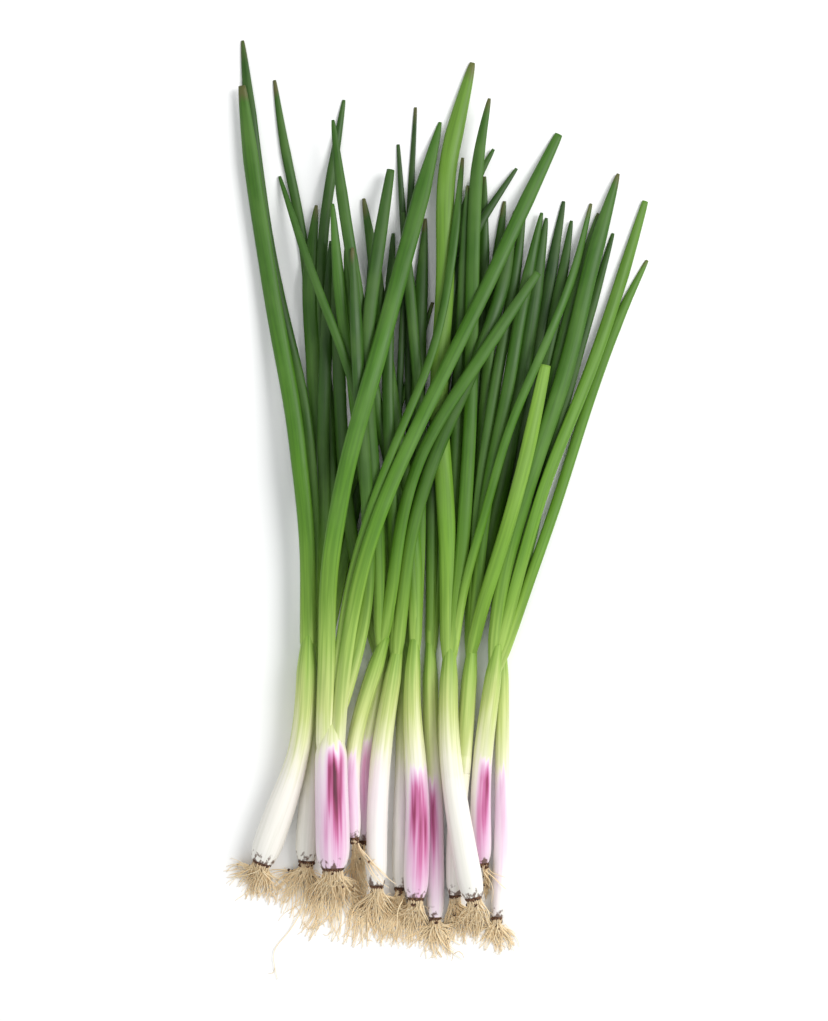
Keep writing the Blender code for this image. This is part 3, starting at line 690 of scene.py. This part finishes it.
def stem_skin(name):
    """Rings of a whole stem, one of them at the colour line, and their places."""
    points, radius = stems[name]
    shank = PLANTS[name]["shank"]
    line, run = resample(np.column_stack([points, radius]), STEM_STEP)
    soft = stiffener(len(line), 3.0) @ line[:, 3]
    line[:, 3] = np.minimum(soft, line[:, 3] + 0.15)
    with_joint = np.sort(np.append(run, shank))
    line = np.column_stack([np.interp(with_joint, run, column) for column in line.T])
    run = with_joint
    rng = np.random.default_rng([11, int(name)])
    angle = 2 * math.pi * np.arange(STEM_TURN) / STEM_TURN
    worn = 1.0 - 0.035 * ripple(rng, run, angle, 9.0) - 0.012 * ripple(rng, run, angle, 30.0, (9, 14))
    mouth = np.clip((run - run[-1]) / MOUTH + 1.0, 0.0, 1.0)
    thin = min(THIN_EDGE, run[-1] - shank)
    edge = np.clip((run - run[-1]) / thin + 1.0, 0.0, 1.0)
    across, up = line[:, 3:] * worn * np.cos(angle), line[:, 3:] * worn * np.sin(angle)
    hand = 1.0 if rng.random() < 0.5 else -1.0
    ragged = 8.0 * ripple(rng, run, angle, 40.0, (5, 8, 13)) - 3.0
    up_to = (run - shank - BLUSH_TOP.get(name, 0.0))[:, None] + ragged
    lateral = np.cos(angle) + BLUSH_SIDE.get(name, 0.0) + 0.1 * np.sin(run / 9.0 + int(name))[:, None]
    spread = np.interp(up_to, (-40.0, -4.0), (0.95, 0.48))
    facing = 0.1 + 0.9 * np.exp(-((lateral / spread) ** 2)) * np.where(np.sin(angle) > 0.0, 1.0, 0.45)
    reach = np.interp(up_to, *np.transpose(BLUSH_RUN))
    return {
        "rings": rings_round(line[:, :3], across, up, slant=hand * MOUTH_SLANT * mouth**2),
        "skin": unrolled(run, angle, line[:, 3].max(), NOISE_STEP * int(name)),
        "rise": run - shank + 0.5 * thin * edge**2,
        "tip": np.full(len(run), FAR),
        "foot": run,
        "tint": np.full(len(run), 0.5),
        "blush": BLUSH.get(name, 0.0) * facing * reach,
    }


def dress_shank(name):
    stem = stem_skins[name]
    below = stem["foot"] <= PLANTS[name]["shank"]
    skin = Skin()
    skin.tube(crisp_ends=True, **{place: values[below] for place, values in stem.items()})
    piece = skin.make(f"shank_{name}", [purple_skin if name in BLUSH else white_skin])
    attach(piece, "root")
    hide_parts(f"onion_{name}_shank")
    return piece


stem_skins = {name: stem_skin(name) for name in PLANTS}
shanks = {name: dress_shank(name) for name in PLANTS}
print(len(shanks), "shanks,", sum(len(piece.data.polygons) for piece in shanks.values()), "faces")

# %% [markdown]
# ## Necks and leaves
#
# The neck is the sheath of the oldest leaf, wrapped round the younger ones. It opens in a
# slanting mouth, where the next leaf comes out. A leaf is a hollow tube. Near the neck it is
# round, further out its own weight flattens it and folds a soft keel along it, and it rolls
# a little to one side or the other, so that no two catch the light alike.
#
# The outline is a squashed circle with a keel. A power a little under 2 in place of the
# circle's square pulls the middle up to the keel, and that power drifts along the leaf.

# %% Necks and leaves
LEAF_TURN = 20  # points round a leaf
LEAF_STEP = 1.6  # mm between the rings of a leaf
ROUND_FOOT = 0.9  # a leaf's thickness over its width where it leaves the neck
UNROLLING = 40.0  # mm over which it goes from round to flat
FREED = 10.0  # mm over which it comes free of the neck
NARROW_FOOT = 0.66  # its width inside the neck over its width outside
DRY_TIPS = 0.4  # share of the leaves with a dry tip
FRESH_TIP = 14.0  # mm that keep drying away from the other tips
LEAF_NOISE_STEP = 411.0  # mm, the same from leaf to leaf

# How young each leaf is, from 0 to 1, on the plants whose leaves stand out; low values also
# paint shade on leaves that lie deep in the heap
TINTS = {
    "02": (0.25, 0.3, 0.15, 0.1, 0.1, 0.4),
    "03": (0.15, 0.35, 0.45, 0.45),
    "09": (0.15, 0.2, 0.25, 0.2, 0.25, 0.9),
    "10": (0.2, 0.75, 0.35, 0.4),
    "11": (0.6, 0.2, 0.35, 0.65),
    "13": (0.3, 0.2, 0.35),
}


def leaf_tint(rng, name, k):
    """How young a leaf is: set above, or drawn, and lower for plants low in the heap, as painted shade."""
    drawn = rng.normal(0.02 + 0.45 * PILE.index(name) / len(PILE), 0.12)
    return TINTS[name][k] if name in TINTS else np.clip(drawn, 0.0, 0.9)


def add_leaf(skin, name, k, rng):
    points, half = leaves[name][k]
    stem_points = stems[name][0]
    first = np.interp(points[0, 1], stem_points[:, 1], length_along(stem_points))
    first -= PLANTS[name]["shank"]
    line, run = resample(np.column_stack([points, half]), LEAF_STEP)
    angle = 2 * math.pi * np.arange(LEAF_TURN) / LEAF_TURN
    flat = LEAF_FLATNESS * (0.92 + 0.08 * np.sin(run / rng.uniform(18.0, 34.0) + rng.uniform(0.0, 6.3)))
    flat += (ROUND_FOOT - flat) * np.clip(1.0 - run / UNROLLING, 0.0, 1.0)
    keel = 1.0 + 0.16 * np.clip(run / 60.0, 0.0, 1.0) * rng.uniform(0.3, 1.0)
    keel *= 1.0 + 0.05 * np.sin(run / rng.uniform(15.0, 30.0) + rng.uniform(0.0, 6.3))
    cosine, sine = np.cos(angle)[None], np.sin(angle)[None]
    worn = 1.0 - 0.05 * ripple(rng, run, angle, 14.0, (1, 2))
    worn *= NARROW_FOOT + (1.0 - NARROW_FOOT) * np.clip(run / FREED, 0.0, 1.0)[:, None]
    across = line[:, 3:] * worn * np.sign(cosine) * np.abs(cosine) ** keel[:, None] ** 0.5
    up = line[:, 3:] * worn * flat[:, None] * np.sign(sine) * np.abs(sine) ** keel[:, None]
    roll = rng.uniform(-0.22, 0.22) + 0.14 * np.sin(run / rng.uniform(25.0, 50.0) + rng.uniform(0.0, 6.3))
    fresh = 0.0 if rng.random() < DRY_TIPS else FRESH_TIP
    skin.tube(
        rings_round(line[:, :3], across, up, roll=roll * np.clip(run / UNROLLING, 0.0, 1.0)),
        unrolled(run, angle, line[:, 3].max(), NOISE_STEP * int(name) + LEAF_NOISE_STEP * (k + 1)),
        rise=first + run,
        tip=run[-1] - run + fresh,
        foot=FAR,
        tint=leaf_tint(rng, name, k),
    )


def dress_leaves(name):
    rng = np.random.default_rng([23, int(name)])
    skin = Skin()
    stem = stem_skins[name]
    above = stem["foot"] >= PLANTS[name]["shank"]
    skin.tube(crisp_ends=True, **{place: values[above] for place, values in stem.items()})
    for k in range(len(leaves[name])):
        add_leaf(skin, name, k, rng)
    piece = skin.make(f"leaves_{name}", [purple_skin if name in BLUSH else white_skin])
    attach(piece, "root")
    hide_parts(f"onion_{name}_leaves")
    return piece


foliage = {name: dress_leaves(name) for name in PLANTS}
print(len(foliage), "plants in leaf,", sum(len(piece.data.polygons) for piece in foliage.values()), "faces")

# %% [markdown]
# ## Roots
#
# Under the shank sits the root plate, a small brown cork-like disc with soil in its
# wrinkles. From it grows a tuft of pale roots, each a little under half a millimetre thick,
# with finer side roots. Washed and laid down they clump into a mat. Particle hair could draw
# them, but hair isn't a mesh and doesn't survive outside Blender, so each root is a thin
# three-sided tube. It leaves the plate straight, then fans out, wanders and sinks to the
# table, beside or over the other plants' shanks.

# %% Routes of the fine roots
ROOT_WIDTH = 0.45  # mm
SIDE_ROOT_WIDTH = 0.28  # mm
ROOT_SEED = 4
ROOT_TRIES = 40  # draws of one root, of which the first that fits is kept
GOLDEN_ANGLE = 2.4  # radians; starts turned by it spread evenly over the plate
FINE_ROOTS = 13  # fine roots for each thick one of the plain solid
MAT_THICKNESS = 1.4  # mm
# The root plate's profile: mm past the foot, and width over the foot's own
PLATE_PROFILE = ((-0.4, 0.8), (0.1, 0.98), (0.7, 0.93), (1.3, 0.82), (1.9, 0.6), (2.3, 0.3))
# A crumb's profile: place along it and width, both over its size
CRUMB_PROFILE = ((-0.8, 0.55), (-0.2, 1.0), (0.5, 0.8), (0.9, 0.4))
CRUMBS = 22  # crumbs of soil for each plant
CLODS = 10  # of these, how many are clods close to the plate
CLOD_REACH = 2.5  # mm from the plate within which the clods stick
CRUMB_REACH = 12.0  # the same for the other crumbs, mm
ARCH = 5.0  # mm above the top of its plant's foot that a root may reach


def draw_root(rng, start, heading, turn, reach, wave):
    """Plan of one root. wave: size, pace and start of the wander that a strand shares."""
    size, pace, shift = wave
    run = np.arange(0.0, reach * rng.uniform(0.45, 1.0) + ROOT_STATION, ROOT_STATION)
    wander = size * rng.uniform(0.5, 1.5) * np.sin(run / pace + shift + rng.normal(0.0, 0.5))
    angle = heading + (turn + wander) * np.clip((run - 1.0) / 4.0, 0.0, 1.0)
    steps = ROOT_STATION * np.column_stack([np.cos(angle), np.sin(angle)])
    return start + np.cumsum(steps, axis=0)


def is_beside(plan, others):
    """Whether a root's plan stays clear of all the other stems."""
    x, y = plan[2:, :1], plan[2:, 1:2]
    return all(
        (np.hypot(x - line[:, 0], y - line[:, 1]) >= wide + ROOT_WIDTH).all() for line, wide in others
    )


def plan_fine_roots(name, rng):
    """Plans of a plant's fine roots, and how far above the foot's middle each starts."""
    points, radius = stems[name]
    foot = points[0, :2]
    outward = foot - points[4, :2]
    heading = math.atan2(outward[1], outward[0])
    beside = np.array([-math.sin(heading), math.cos(heading)])
    count, reach, spread = PLANTS[name]["roots"]
    every = [stems[other] for other in PILE if other != name]
    higher = [stems[other] for other in PILE[PILE.index(name) + 1 :]]
    plans = []
    if name in STRAY_ROOTS:
        plans.append((stations(STRAY_ROOTS[name], ROOT_STATION, 20.0), 0.0))
    strands = []
    for _ in range(2 * count):
        way = rng.uniform(-0.95, 0.95)
        strands.append((way, (rng.uniform(0.2, 0.6), rng.uniform(2.5, 7.0), rng.uniform(0.0, 6.3))))
    total = FINE_ROOTS * count
    for k in range(total):
        out = 0.8 * radius[0] * math.sqrt((k + 0.5) / total)
        side, rise = out * math.cos(GOLDEN_ANGLE * k), out * math.sin(GOLDEN_ANGLE * k)
        for attempt in range(ROOT_TRIES):
            way, wave = strands[int(rng.integers(len(strands)))]
            share = 0.4 * side / radius[0] + way + rng.normal(0.0, 0.15)
            plan = draw_root(rng, foot + beside * side, heading, math.radians(spread) * share, reach, wave)
            if is_beside(plan, every if attempt < ROOT_TRIES / 2 else higher):
                plans.append((plan, rise))
                break
    return plans


print(FINE_ROOTS * sum(plant["roots"][0] for plant in PLANTS.values()), "fine roots to draw")

# %% Root tufts
stem_pile = Pile()
for name in PILE:
    stem_pile.add(*stems[name], stems[name][1], name)


def add_fibre(skin, line, width, seed):
    """One thin root, three-sided, tapered to its end."""
    run = length_along(line)
    angle = 2 * math.pi * np.arange(3) / 3
    half = 0.5 * width * np.interp(run, [0.0, 0.5 * run[-1], run[-1]], [1.15, 1.0, 0.5])
    rings = rings_round(line, half[:, None] * np.cos(angle), half[:, None] * np.sin(angle))
    skin.tube(rings, unrolled(run, angle, width, 13.0 * seed), foot=run, tint=(seed % 17) / 17, slot=1)


def add_plate(skin, name, rng):
    """The root plate, a wrinkled disc that closes the foot."""
    points, radius = stems[name]
    outward = (points[0] - points[1]) / np.linalg.norm(points[0] - points[1])
    depth, width = np.transpose(PLATE_PROFILE)
    line = points[0] + depth[:, None] * outward
    angle = 2 * math.pi * np.arange(28) / 28
    worn = radius[0] * width[:, None] * (1.0 - 0.12 * ripple(rng, depth, angle, 1.0, (5, 9, 13)))
    rings = rings_round(line, worn * np.cos(angle), worn * np.sin(angle))
    skin.tube(rings, unrolled(depth, angle, radius[0], 31.0 * int(name)), foot=depth)


def add_crumbs(skin, fibres, rng):
    """Small lumps of soil that stick to roots, most of them near the plate."""
    angle = 2 * math.pi * np.arange(6) / 6
    along, wide = np.transpose(CRUMB_PROFILE)
    for seed in range(CRUMBS):
        fibre = fibres[int(rng.integers(len(fibres)))]
        within = min(CLOD_REACH if seed < CLODS else CRUMB_REACH, ROOT_STATION * (len(fibre) - 1))
        size = rng.uniform(0.6, 1.1) if seed < CLODS else rng.uniform(0.25, 0.7)
        middle = fibre[int(within / ROOT_STATION * rng.random() ** 1.5)].copy()
        middle[2] = max(middle[2], size)
        line = middle + size * along[:, None] * [0.0, 1.0, 0.0]
        lumpy = size * rng.uniform(0.75, 1.15, (len(along), len(angle))) * wide[:, None]
        rings = rings_round(line, lumpy * np.cos(angle), lumpy * np.sin(angle))
        skin.tube(rings, unrolled(size * (along - along[0]), angle, size, 7.0 * seed))


def lay_fibre(name, plan, rise, rng):
    """A root's route with heights: over what lies there, within the thickness of the mat."""
    half = np.full(len(plan), 0.5 * ROOT_WIDTH)
    floor = stem_pile.height_under(plan, half, half, name, np.zeros(len(plan)))
    share = np.linspace(1.0, 0.25, len(plan))
    floor = np.maximum(floor, half + rng.uniform(0.0, MAT_THICKNESS) * share)
    start = np.full(2, max(stems[name][0][0, 2] + rise, half[0]))
    return np.column_stack([plan, lay(floor, start, ROOT_BEND, ROOT_SAG)])


def add_side_root(skin, line, rng, seed):
    """A short thinner root that leaves a longer one at an angle."""
    at = int(rng.integers(3, len(line) - 3))
    way = line[at + 1] - line[at]
    turn = rng.choice([-1.0, 1.0]) * rng.uniform(0.5, 1.1)
    heading = math.atan2(way[1], way[0]) + turn
    length = rng.uniform(2.0, 5.0) * np.linspace(0.0, 1.0, 5)
    bend = heading + 0.5 * np.sin(length)
    plan = line[at, :2] + np.column_stack([length * np.cos(bend), length * np.sin(bend)])
    height = np.maximum(line[at, 2] - 0.2 * length, 0.15)
    add_fibre(skin, np.column_stack([plan, height]), SIDE_ROOT_WIDTH, seed)


def dress_roots(name, materials):
    rng = np.random.default_rng([ROOT_SEED, 7, int(name)])
    skin = Skin()
    add_plate(skin, name, rng)
    points, radius = stems[name]
    fibres = []
    for seed, (plan, rise) in enumerate(plan_fine_roots(name, rng)):
        line = lay_fibre(name, plan, rise, rng)
        if line[:, 2].max() > points[0, 2] + radius[0] + ARCH:
            continue
        fibres.append(line)
        add_fibre(skin, line, ROOT_WIDTH * rng.uniform(0.7, 1.25), seed)
        if len(line) > 8 and seed % 3 == 0:
            add_side_root(skin, line, rng, seed)
    add_crumbs(skin, fibres, rng)
    piece = skin.make(f"roots_{name}", materials)
    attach(piece, "root")
    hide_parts(f"onion_{name}_roots")
    return piece


# %% [markdown]
# ## Root fibre and root plate
#
# A washed root is a pale tan cord of plant fibre, and dull. In a mat the roots shade each
# other, so one root's own colour is picked lighter than the mat looks. The plate is dead
# corky tissue with soil rubbed into it, so it is dark and rough.

# %% Recipes for roots
def root_fibre():
    material, tree, shader = new_material("washed_root_fibre")
    patches = stretched_noise(tree, 1.5, 5.0, 2.0)
    stops = ((0.25, "#ffdfae"), (0.5, "#ffeac0"), (0.8, "#fff3da"))
    colour = add_node(tree, "ValToRGB", [patches], stops=stops)
    for place, span, tone in (
        ("tint", [0.0, 1.0, 0.0, 0.2], "#ecc08d"),
        ("foot", [0.0, 3.0, 0.35, 0.0], "#8f6747"),
    ):
        share = add_node(tree, "Attribute", output="Fac", attribute_name=place)
        mix = {0: add_node(tree, "MapRange", [share, *span]), 6: colour, 7: tone}
        colour = add_node(tree, "Mix", mix, 2, data_type="RGBA")
    tree.links.new(colour, shader.inputs["Base Color"])
    shader.inputs["Roughness"].default_value = 0.65
    shader.inputs["IOR"].default_value = 1.4
    return material


def root_plate():
    material, tree, shader = new_material("corky_root_plate_with_soil")
    grit = stretched_noise(tree, 0.9, 0.9, 4.0)
    stops = ((0.3, "#2c1810"), (0.5, "#553522"), (0.72, "#94704f"))
    tree.links.new(add_node(tree, "ValToRGB", [grit], stops=stops), shader.inputs["Base Color"])
    bump = add_node(tree, "Bump", {"Strength": 0.9, "Distance": 0.0006, "Height": grit})
    tree.links.new(bump, shader.inputs["Normal"])
    shader.inputs["Roughness"].default_value = 0.9
    return material


root_looks = [root_plate(), root_fibre()]
tufts = {name: dress_roots(name, root_looks) for name in PLANTS}
print(len(tufts), "tufts,", sum(len(piece.data.polygons) for piece in tufts.values()), "faces")

# %% [markdown]
# ## Table, light and camera
#
# The bunch lies on a matt white table, which mirrors nothing, and is looked at from straight
# above, through a long lens so that nothing leans. One large soft light stands to the right
# and behind, which gives the wide grey shadow on the left. A weak one opposite and a pale
# surround fill it in.

# %% Table
EDGE = 3.0  # metres from its middle to each edge


def make_table():
    mesh = bpy.data.meshes.new("table")
    corners = [(-EDGE, -EDGE, 0), (EDGE, -EDGE, 0), (EDGE, EDGE, 0), (-EDGE, EDGE, 0)]
    mesh.from_pydata(corners, [], [(0, 1, 2, 3)])
    material, _, shader = new_material("matt_white_table")
    shader.inputs["Base Color"].default_value = linear("#fbfbfa")
    shader.inputs["Roughness"].default_value = 0.85
    mesh.materials.append(material)
    table = bpy.data.objects.new("table", mesh)
    table.location.z = -0.0001
    bpy.context.scene.collection.objects.link(table)


make_table()
print("table", 2 * EDGE, "m wide")

# %% Lights
def add_light(name, place, size, power):
    """A square soft light that faces the middle of the bunch."""
    data = bpy.data.lights.new(name, "AREA")
    data.size, data.energy = size, power
    light = bpy.data.objects.new(name, data)
    light.location = place
    light.rotation_euler = (-light.location).to_track_quat("-Z", "Y").to_euler()
    bpy.context.scene.collection.objects.link(light)


add_light("key", (0.69, 0.35, 0.91), 0.6, 10.9)
add_light("fill", (-0.5, -0.5, 1.2), 1.2, 2.2)
world = bpy.data.worlds.new("pale_room")
world.use_nodes = True
surround = world.node_tree.nodes["Background"].inputs
surround["Color"].default_value = linear("#f4f6f8")
surround["Strength"].default_value = 0.68
bpy.context.scene.world = world
print("lights in watts:", {light.name: round(light.energy, 1) for light in bpy.data.lights})
bpy.context.scene.view_settings.view_transform = "Standard"

# %% Camera
VIEW_TALL = 0.4084  # metres that the picture's height takes in, at this height:
BUNCH_HEIGHT = 0.012
VIEW_MIDDLE = (-0.0116, -0.0002)  # the point on the table that the camera looks down at

lens = bpy.data.cameras.new("camera")
lens.lens, lens.sensor_height, lens.sensor_fit = 85.0, 36.0, "VERTICAL"
camera = bpy.data.objects.new("camera", lens)
distance = VIEW_TALL * lens.lens / lens.sensor_height
camera.location = (*VIEW_MIDDLE, BUNCH_HEIGHT + distance)
bpy.context.scene.collection.objects.link(camera)
bpy.context.scene.camera = camera
print("camera", round(distance, 3), "m above the bunch")
